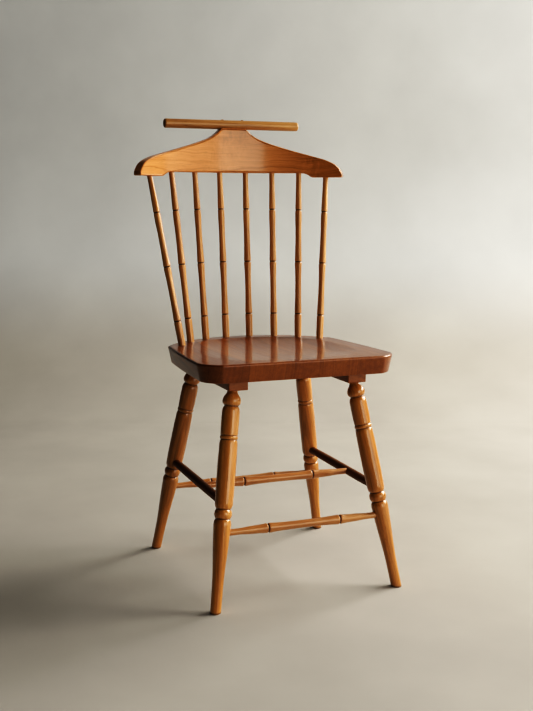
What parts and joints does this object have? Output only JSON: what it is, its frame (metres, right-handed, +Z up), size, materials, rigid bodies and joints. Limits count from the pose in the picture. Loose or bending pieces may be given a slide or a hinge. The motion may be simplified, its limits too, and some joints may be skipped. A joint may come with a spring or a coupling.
{
  "type": "valet chair",
  "caption": "Wooden valet chair with splayed turned legs, saddled plank seat, bamboo-turned back spindles, a coat-hanger crest rail and a round trouser bar on top.",
  "frame": {"origin": "on the floor, at the centre of the overall footprint", "axes": "+Z up, -Y the front of the seat, +X to the right seen from the front; the chair is mirror-symmetric about x = 0"},
  "size_m": [0.4604, 0.4382, 0.906],
  "materials": {
    "seat_wood": "semi-gloss reddish-brown stained plank seat",
    "cleat_wood": "satin dark reddish-brown stain",
    "leg_wood": "semi-gloss honey-brown stained turned wood",
    "stretcher_wood": "semi-gloss honey-brown stained turned wood",
    "spindle_wood": "semi-gloss honey-brown stained turned wood",
    "crest_wood": "semi-gloss orange-tan stained plank",
    "bar_wood": "semi-gloss honey-brown stained dowel",
    "screw_steel": "plain zinc-plated screw steel"
  },
  "bodies": {
    "root": {"seat": "seat_wood", "cleat_left": "cleat_wood", "cleat_right": "cleat_wood", "cleat_screws": "screw_steel", "leg_front_left": "leg_wood", "leg_front_right": "leg_wood", "leg_back_left": "leg_wood", "leg_back_right": "leg_wood", "side_stretcher_left": "stretcher_wood", "side_stretcher_right": "stretcher_wood", "front_stretcher": "stretcher_wood", "rear_stretcher": "stretcher_wood", "medial_stretcher": "stretcher_wood", "spindle_1": "spindle_wood", "spindle_2": "spindle_wood", "spindle_3": "spindle_wood", "spindle_4": "spindle_wood", "spindle_5": "spindle_wood", "spindle_6": "spindle_wood", "spindle_7": "spindle_wood", "spindle_8": "spindle_wood", "crest_rail": "crest_wood", "trouser_bar": "bar_wood", "bar_pegs": "bar_wood"}
  },
  "joints": []
}
